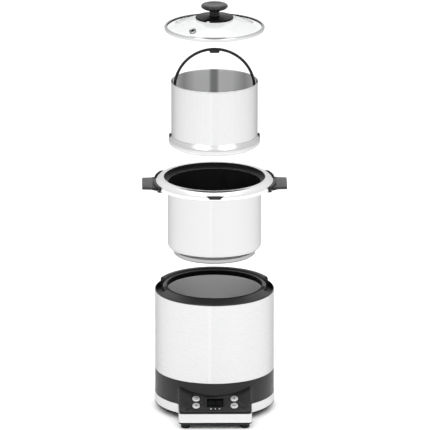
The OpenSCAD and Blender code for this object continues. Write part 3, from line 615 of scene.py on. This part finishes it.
# pale symbols under the display and the display's faint figures
def indicators():
    bm = bmesh.new()
    z0, z1 = 1.99, 2.16
    # a lidded pot
    T = PANEL_M @ Matrix.Translation(Vector((-6.3, 6.9, 0)) * MM)
    outline_solid(bm, T, [(-1.2, -1.1), (1.2, -1.1), (1.35, 0.35), (-1.35, 0.35)], z0, z1, 0.03)
    outline_solid(bm, T, [(-1.5, 0.65), (1.5, 0.65), (0.9, 1.15), (-0.9, 1.15)], z0, z1, 0.03)
    # a grain shape
    T = PANEL_M @ Matrix.Translation(Vector((0, 6.9, 0)) * MM)
    outline_solid(bm, T, [(1.35 * math.cos(t) * 0.62 - 0.35 * math.sin(t), 1.3 * math.sin(t)) for t in [2 * math.pi * i / 24 for i in range(24)]], z0, z1, 0.03)
    # three steam bars
    T = PANEL_M @ Matrix.Translation(Vector((6.3, 6.9, 0)) * MM)
    for dx in (-1.1, 0, 1.1):
        outline_solid(bm, T, [(dx - 0.3, -1.1), (dx + 0.3, -1.1), (dx + 0.3, 1.1), (dx - 0.3, 1.1)], z0, z1, 0.03)
    finish_mesh("indicators_finished", bm, "icon_print", "base", replaces="indicator_icons")
    bm = bmesh.new()
    T = PANEL_M @ Matrix.Translation(Vector((0, 19.3, 0)) * MM)
    z0, z1 = 1.88, 1.94
    def seg(x0, y0, x1, y1):
        outline_solid(bm, T, [(x0, y0), (x1, y0), (x1, y1), (x0, y1)], z0, z1)
    for cx in (-7.4, -3.0, 3.0, 7.4):
        for yy in (-3.6, 0, 3.6):
            seg(cx - 1.0, yy - 0.25, cx + 1.0, yy + 0.25)
        for sx_ in (-1.35, 1.35):
            for yy in (-1.8, 1.8):
                seg(cx + sx_ - 0.25, yy - 1.35, cx + sx_ + 0.25, yy + 1.35)
    for yy in (-1.4, 1.4):
        seg(-0.3, yy - 0.3, 0.3, yy + 0.3)
    finish_mesh("display_figures", bm, "segment", "base")
indicators()

# ------------------------------------------------------------------ cooking pot
c, w = 8.5, 0.7
fz = -115.5 + 7
# painted shade: the recess faces between the rim and the liner take a near-black plastic
lathe("pot_finished", [(0, fz), (68.75, fz, c), (68.75, -8.7, 0.5), (74.7, -8.7, 0.3), (74.7, -0.95), (74.0, -0.95), (74.0, -8.0, 0.8), (68.05, -8.0, 0.25), (68.05, fz + w, c - w), (0, fz + w)],
      ["pot_steel", "pot_recess_shade"], "pot", replaces="pot_body", segs=256, closed=False, dz=PT, n=10,
      region=lambda r, z, n: 1 if r < 74.6 and z > PT - 8.6 and (r > 68.1 or n.z > 0.5) else 0)
lathe("nonstick_finished", [(0, fz + w + 0.02), (68.03, fz + w + 0.02, c - w), (68.03, -8.2, 0.1), (67.75, -8.2, 0.1), (67.75, fz + w + 0.3, c - w - 0.3), (0, fz + w + 0.3)],
      "nonstick", "pot", replaces="pot_liner", segs=256, closed=False, dz=PT, n=10)
lathe("rim_finished", [(74.0, -0.95), (74.05, -0.3, 0.2), (75.0, 0.0, 0.6), (78.5, -0.3, 4), (81.6, -1.25, 4), (84.2, -3.0, 4), (85.9, -5.4, 3), (86.5, -8.2, 3), (86.5, -12.4, 0.3), (86.1, -12.8, 0.2),
      (85.7, -12.6, 0.2), (85.7, -8.4, 3), (85.0, -5.9, 3), (83.5, -3.9, 3), (81.3, -2.3, 3), (78.3, -1.2, 3), (75.0, -0.95)],
      "rim_steel", "pot", replaces="pot_rim", segs=256, dz=PT, n=5)
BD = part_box("pot_base_disc")[0].z * 1000.0 - PT
lathe("base_disc_finished", [(0, BD), (24, BD, 0.1), (24.5, BD + 0.4, 0.1), (25, BD, 0.1), (58.2, BD, 1.2), (60, BD + 1.6, 1.0), (60.05, -110.4, 1.0), (61.0, -109.0, 0.8), (62.9, -108.02, 0.1), (61.4, -108.3), (60, -108.45), (0, -108.48)],
      "base_disc_steel", "pot", replaces="pot_base_disc", segs=192, closed=False, dz=PT)
for side in ("left", "right"):
    o = refine("handle_" + side, "handle_plastic", 0.9, 4, angle=38)
    bm = bmesh.new()
    bm.from_mesh(o.data)
    sx = -1 if side == "left" else 1
    bmesh.ops.bisect_plane(bm, geom=bm.verts[:] + bm.edges[:] + bm.faces[:], plane_co=((AX + sx * 91.0) * MM, 0, 0), plane_no=(1, 0, 0), dist=1e-7)
    bm.to_mesh(o.data)
    bm.free()
    o.data.materials.append(MAT["root_black"])
    for f in o.data.polygons:
        if abs(f.center.x / MM - AX) < 91.0:
            f.material_index = 1
def bands():
    bm = bmesh.new()
    prof = [(r, z + PT) for r, z in rounded([(86.6, -12.9, 0.4), (88.9, -12.9, 0.7), (89.3, -9.7, 1.5), (88.9, -6.5, 0.7), (86.6, -6.5, 0.4)], True, 4)]
    for s in (0, 180):
        cols = [(math.radians(s - 23.4 + 46.8 * i / 60), prof) for i in range(61)]
        sweep_cols(bm, cols, False, True, place_axis)
    finish_mesh("bands_finished", bm, "black_plastic", "pot", replaces="handle_bands")
bands()
def hooks():
    """The strap's ends rise behind the rim's rolled edge, next to each handle."""
    for s, nm in ((1, "right"), (-1, "left")):
        bm = bmesh.new()
        cols = []
        for i in range(49):
            a = 5.0 + 33.0 * i / 48
            up_ = min(1.0, (a - 5.0) / 7.0)
            down = max(0.0, (a - 25.0) / 13.0)
            top = -6.6 + 3.9 * up_ * up_ * (3 - 2 * up_) - 3.6 * down * down * (3 - 2 * down)
            prof = [(r, z + PT) for r, z in rounded([(86.95, -9.0, 0.3), (88.6, -9.0, 0.5), (88.7, top - 0.6, 0.5), (88.3, top, 0.4), (87.2, top, 0.4), (86.95, top - 0.5, 0.3)], True, 4)]
            cols.append((math.radians(a if s > 0 else 180 - a), prof))
        sweep_cols(bm, cols, False, True, place_axis)
        finish_mesh("strap_hook_" + nm, bm, "root_black", "pot")
hooks()
refine("handle_anchors", "black_plastic", 0.7, 3, angle=38)

# ------------------------------------------------------------------ insert and bail
def insert_region(r, z, n):
    inward = (r < 62.9 and z > IZ + 2.5) or (n.z > 0.5 and z < IZ + 6)
    return 1 if inward else 0
lathe("insert_finished", [(0, 1.12), (63.2, 1.12, 3.0), (63.2, IH - 2, 0.6), (63.75, IH - 1.3, 0.4), (63.8, IH - 0.3, 0.4), (63.3, IH, 0.3), (62.6, IH - 0.1, 0.2), (62.5, IH - 1.2, 0.4), (62.5, 1.82, 2.3), (0, 1.82)],
      ["insert_steel", "insert_inner"], "insert", replaces="insert_body", segs=256, closed=False, dz=IZ, n=6, region=insert_region)
def foot_ring():
    main = rounded([(58, 0.05), (61.6, 0.0, 0.4), (63.6, 0.9, 1), (65.2, 2.4, 1.5), (66.5, 4.4, 2), (67.1, 6.4, 2), (67.2, 8.0, 2), (66.9, 9.8, 2), (66.0, 11.8, 2), (64.9, 13.8, 2), (63.9, 15.8, 2),
                    (63.25, 17.4, 0.2), (63.25, 4.1, 0.3), (62.6, 2.3, 0.3), (61.4, 1.1, 0.3), (58, 1.1)], True, 3)
    slotp = [(min(r, 63.75) if 11.2 < z < 17.6 else r, z) for r, z in main]
    # sharpen the slot's floor and roof
    marks = []
    def span(a0, a1, k, p):
        for i in range(k + 1):
            marks.append((a0 + (a1 - a0) * i / k, p))
    h = 3.5
    span(-h, h, 6, slotp); span(h + 0.1, 180 - h - 0.1, 110, main); span(180 - h, 180 + h, 6, slotp); span(180 + h + 0.1, 360 - h - 0.1, 110, main)
    bm = bmesh.new()
    sweep_cols(bm, [(math.radians(a), [(r, z + IZ) for r, z in p]) for a, p in marks], True, True, place_axis)
    o = finish_mesh("foot_ring_finished", bm, "foot_steel", "insert", replaces="insert_foot_ring")
    o.data.materials.append(MAT["edge_black"])
    o.data.materials.append(MAT["foot_under_painted_light"])
    for f in o.data.polygons:
        c = f.center
        # painted light: downward faces near the bottom take the paler steel
        if f.normal.z < -0.25 and c.z / MM - IZ < 5:
            f.material_index = 2
        q = math.hypot(c.x / MM - AX, c.y / MM - AY)
        # painted shade: the faces inside the two slots take the near-black
        if abs(c.y / MM - AY) < 4.2 and 11.0 < c.z / MM - IZ < 18.2 and (q < 64.6 or abs(f.normal.z) > 0.7):
            f.material_index = 1
foot_ring()
def plugs():
    for sx, nm in ((1, "right"), (-1, "left")):
        bm = bmesh.new()
        prof = [(r, z + IZ) for r, z in rounded([(63.85, 12.0, 0.3), (65.6, 12.0, 0.5), (66.3, 12.6, 0.6), (66.3, 15.8, 1.0), (65.2, 17.0, 0.6), (63.85, 17.2, 0.3)], True, 4)]
        cols = [(math.radians((0 if sx > 0 else 180) + q), prof) for q in [-2.9 + 5.8 * i / 12 for i in range(13)]]
        sweep_cols(bm, cols, False, True, place_axis)
        finish_mesh("foot_plug_" + nm, bm, "root_black", "insert")
plugs()
refine("bail_lugs", "black_plastic", 0.35, 3)
PZ = (PIN_LO.z + PIN_HI.z) * 500.0
def bail():
    bm = bmesh.new()
    rr, wr = 58.0, 2.1
    K, S = 120, 20
    rows = []
    for i in range(K + 1):
        a = math.pi * i / K
        cx, cz = rr * math.cos(a), rr * math.sin(a)
        row = []
        for j in range(S):
            b = 2 * math.pi * j / S
            q = rr + wr * math.cos(b)
            row.append(bm.verts.new(Vector(((AX + q * math.cos(a)) * MM, (AY + wr * math.sin(b)) * MM, (PZ + q * math.sin(a)) * MM))))
        rows.append(row)
    for A, B in zip(rows, rows[1:]):
        for j in range(S):
            k = (j + 1) % S
            bm.faces.new((A[j], A[k], B[k], B[j]))
    bm.faces.new(rows[0]); bm.faces.new(list(reversed(rows[-1])))
    me_o = finish_mesh("bail_arc", bm, "bail_black", "bail", replaces="bail_wire")
    for s, nm in ((1, "right"), (-1, "left")):
        M4 = Matrix.Translation(Vector((AX + s * 56.2, AY, PZ)) * MM) @ Matrix.Rotation(s * math.pi / 2, 4, "Y")
        lathe("bail_eye_" + nm, [(1.56, 0.0, 0.15), (3.2, 0.0, 0.5), (3.6, 0.7, 0.4), (3.6, 3.5, 0.4), (3.2, 4.2, 0.5), (1.56, 4.2, 0.15)], "bail_black", "bail", segs=48, matrix=M4)
bail()
refine("bail_grip", "bail_black", 0.9, 4)
def pins():
    for s, nm in ((1, "right"), (-1, "left")):
        M4 = Matrix.Translation(Vector((AX + s * 54.8, AY, PZ)) * MM) @ Matrix.Rotation(s * math.pi / 2, 4, "Y")
        lathe("bail_pin_" + nm, [(0, -0.1), (1.6, 0.0, 0.4), (2.6, 0.5, 0.3), (2.6, 1.0, 0.15), (1.5, 1.0, 0.1), (1.5, 7.1, 0.2), (0, 7.2)], "steel_fastener", "insert",
              replaces="bail_pins" if s > 0 else (), segs=48, closed=False, matrix=M4)
pins()

# ------------------------------------------------------------------ lid
DR, DH = 61.5, 15.0
def dome(r):
    return 4.0 if r >= DR else 4.0 + DH * (1 - (r / DR) ** 2)
def lid_glass():
    top = [(3.1, dome(3.1))] + [(r, dome(r)) for r in [4 + 1.5 * i for i in range(38)]]
    prof = top + [(61.2, 4.15), (62.6, 3.98), (64, 3.95), (71.6, 3.95), (71.98, 3.6), (71.98, 1.4), (71.6, 1.05), (63.5, 1.05), (61.6, 1.1)]
    prof += [(r * 0.985, dome(r) - 3.0) for r in reversed([4 + 1.5 * i for i in range(38)])] + [(3.1, dome(3.1) - 3.0)]
    o = lathe("glass_finished", prof, "lid_glass", "lid", replaces="lid_glass", segs=224, dz=LZ)
    return o
glass_o = lid_glass()
VA = math.radians(-128.4)
VR = 51.0
VM = (Matrix.Translation(Vector((AX, AY, LZ)) * MM) @ Matrix.Rotation(VA, 4, "Z") @ Matrix.Translation(Vector((VR, 0, dome(VR) - 1.5)) * MM)
      @ Matrix.Rotation(math.atan(2 * DH * VR / DR ** 2), 4, "Y"))
def drill(o, M4, r, h):
    bm = bmesh.new()
    cols = [(2 * math.pi * i / 64, [(0, -h), (r, -h), (r, h), (0, h)]) for i in range(64)]
    sweep_cols(bm, cols, True, False, lambda q, z, ca, sa: M4 @ Vector((q * ca * MM, q * sa * MM, z * MM)))
    bmesh.ops.remove_doubles(bm, verts=bm.verts, dist=1e-7)
    bmesh.ops.recalc_face_normals(bm, faces=bm.faces)
    me = bpy.data.meshes.new("cutter"); bm.to_mesh(me); bm.free()
    cut = bpy.data.objects.new("cutter", me)
    bpy.context.scene.collection.objects.link(cut)
    md = o.modifiers.new("drill", "BOOLEAN")
    md.operation = "DIFFERENCE"; md.solver = "EXACT"; md.object = cut
    bpy.context.view_layer.update()
    dg = bpy.context.evaluated_depsgraph_get()
    new = bpy.data.meshes.new_from_object(o.evaluated_get(dg))
    o.modifiers.clear()
    o.data = new
    new.shade_smooth()
    new.set_sharp_from_angle(angle=math.radians(32))
    bpy.data.objects.remove(cut)
drill(glass_o, VM, 4.05, 8)
lathe("grommet_finished", [(2.6, -2.5, 0.3), (4.9, -2.55, 0.3), (5.0, -1.9, 0.2), (4.0, -1.85), (4.0, 1.75), (5.1, 1.75, 0.2), (5.2, 2.3, 0.4), (4.3, 2.75, 0.5), (3.2, 2.6, 0.4), (2.6, 1.9, 0.3)],
      "grommet_steel", "lid", replaces="vent_grommet", segs=72, matrix=VM)
# painted shade: a near-black sleeve inside the vent hole makes its centre read dark
lathe("vent_hole_shade", [(2.2, -2.2, 0.1), (2.58, -2.2, 0.1), (2.58, 1.8, 0.1), (2.2, 1.6, 0.1)], "edge_black", "lid", segs=48, matrix=VM)
# painted shade: the rim's inner faces beside the glass take the near-black, for the thin dark line between rim and
# glass
lathe("lid_rim_finished", [(69.0, 0.0, 0.25), (72.3, 0.0, 0.7), (73.0, 0.8, 0.8), (73.0, 4.1, 1.0), (72.3, 4.95, 0.8), (69.3, 4.95, 0.3), (69.0, 4.6, 0.2), (69.0, 4.05), (72.1, 4.05, 0.3), (72.1, 0.95, 0.3), (69.0, 0.95)],
      ["lid_steel", "edge_black"], "lid", replaces="lid_rim", segs=256, dz=LZ, n=5, region=lambda r, z, n: 1 if r < 69.5 else 0)
z0 = dome(0)
def flange():
    prof = rounded([(3.2, z0 + 0.05), (10, dome(8) + 0.1), (18, dome(16) + 0.1), (27.0, dome(26) + 0.1, 0.5), (27.8, dome(26) + 0.9, 0.6), (27.8, dome(26) + 1.9, 0.6), (26.6, dome(26) + 2.9, 1.2),
                    (14, z0 + 1.4, 6), (8.3, z0 + 1.85, 0.6), (3.2, z0 + 1.85)], True, 5)
    cutp = [(min(r, 21.7), z) for r, z in prof]
    marks = []
    def span(a0, a1, k, p):
        for i in range(k + 1):
            marks.append((a0 + (a1 - a0) * i / k, p))
    h = 6.0
    a = -112.0
    span(a - h, a + h, 8, cutp); span(a + h + 0.15, a + 360 - h - 0.15, 150, prof)
    bm = bmesh.new()
    sweep_cols(bm, [(math.radians(q), [(r, z + LZ) for r, z in p]) for q, p in marks], True, True, place_axis)
    finish_mesh("flange_finished", bm, "flange_plastic", "lid", replaces="knob_flange")
flange()
lathe("stem_finished", [(2.6, z0 + 1.9), (8.3, z0 + 1.9, 0.3), (8.2, z0 + 2.8, 0.4), (7.5, z0 + 3.3, 0.4), (7.5, z0 + 5.6, 0.4), (7.9, z0 + 6.0, 0.3), (7.5, z0 + 6.4, 0.3), (7.5, 27.0, 0.4), (8.0, 27.6, 0.4), (8.1, 29.4), (2.6, 29.4)],
      "knob_plastic", "lid", replaces="knob_stem", segs=96, dz=LZ)
lathe("cap_finished", [(0, 34.0), (2.2, 34.0), (2.2, 29.4), (8.6, 29.4, 0.4), (13, 29.95, 3), (16.8, 31.3, 3), (19.2, 33.0, 2), (19.75, 34.6, 1.5), (19.4, 36.1, 1.5), (18.1, 37.3, 1.5), (15.6, 37.95, 2), (12.4, 37.95, 1.5),
      (10.5, 37.55, 2), (5, 37.15, 3), (0, 37.05)], "knob_plastic", "lid", replaces="knob_cap", segs=128, closed=False, dz=LZ, n=5)

# ------------------------------------------------------------------ carried CAD nodes keep their shape and take a material
for name, mat in {"housing_screws": "steel_fastener", "inlet_pins": "steel_fastener", "heating_element": "element_metal",
                  "sensor_bracket": "steel_fastener", "sensor_spring": "steel_fastener", "handle_screws": "steel_fastener",
                  "knob_screw": "steel_fastener", "knob_washer": "steel_fastener"}.items():
    o = NODES[name]
    o.data.materials.clear()
    o.data.materials.append(MAT[mat])
